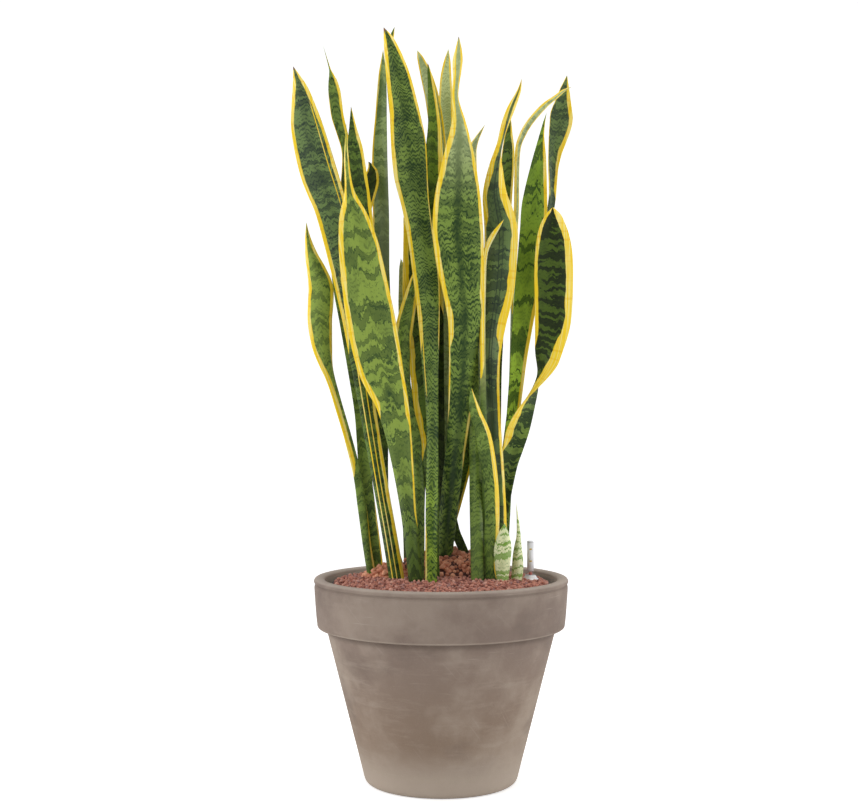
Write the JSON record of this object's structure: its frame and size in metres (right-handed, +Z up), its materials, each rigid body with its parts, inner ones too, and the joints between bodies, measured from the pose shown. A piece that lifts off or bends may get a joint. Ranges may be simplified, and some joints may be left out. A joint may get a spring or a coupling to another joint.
{
  "type": "potted snake plant",
  "caption": "Snake plant with upright yellow-edged sword leaves in a tapered clay planter with a wide rim band, clay granules and a clear water gauge.",
  "frame": {"origin": "middle of the planter's foot, on the surface it stands on", "axes": "+Z up, -Y towards the viewer of the plant's best side, +X to that viewer's right"},
  "size_m": [0.4292, 0.38, 1.135],
  "materials": {
    "clay": "unglazed taupe clay, matt, with pale cloudy marks",
    "liner_plastic": "black moulded plastic, matt",
    "culture_plastic": "black moulded plastic, matt",
    "pebbles": "expanded clay pebbles, rough, salmon brown",
    "granules": "fine crushed clay granules, rough, red brown",
    "rhizome": "pale ochre root skin, matt",
    "leaf": "waxy green leaf with dark cross bands and yellow margins",
    "pup_leaf": "cream young leaf with green mottling",
    "gauge_black": "black moulded plastic, matt",
    "gauge_clear": "clear moulded plastic",
    "float_red": "red moulded plastic"
  },
  "bodies": {
    "planter": {"clay_pot": "clay", "liner": "liner_plastic", "culture_pot": "culture_plastic", "pebble_ring": "pebbles", "pebble_bed": "pebbles", "granule_bed": "granules", "rhizome_1": "rhizome", "rhizome_2": "rhizome", "rhizome_3": "rhizome", "rhizome_4": "rhizome", "rhizome_5": "rhizome", "rhizome_6": "rhizome", "rhizome_7": "rhizome", "leaf_01": "leaf", "leaf_02": "leaf", "leaf_03": "leaf", "leaf_04": "leaf", "leaf_05": "leaf", "leaf_06": "leaf", "leaf_07": "leaf", "leaf_08": "leaf", "leaf_09": "leaf", "leaf_10": "leaf", "leaf_11": "leaf", "leaf_12": "leaf", "leaf_13": "leaf", "leaf_14": "leaf", "leaf_15": "leaf", "leaf_16": "leaf", "leaf_17": "leaf", "leaf_18": "leaf", "leaf_19": "leaf", "leaf_20": "leaf", "leaf_21": "leaf", "leaf_22": "leaf", "leaf_23": "leaf", "leaf_24": "leaf", "leaf_25": "leaf", "leaf_26": "leaf", "leaf_27": "leaf", "pup_01": "pup_leaf", "pup_02": "pup_leaf", "gauge_sleeve": "gauge_black", "gauge_collar": "gauge_clear", "gauge_tube": "gauge_clear", "gauge_cap": "gauge_clear"},
    "float": {"gauge_float": "float_red"}
  },
  "joints": [
    {"name": "float_slide", "type": "slide", "parent": "planter", "child": "float", "axis": [0, 0, 1], "range_m": [0, 0.039]}
  ]
}
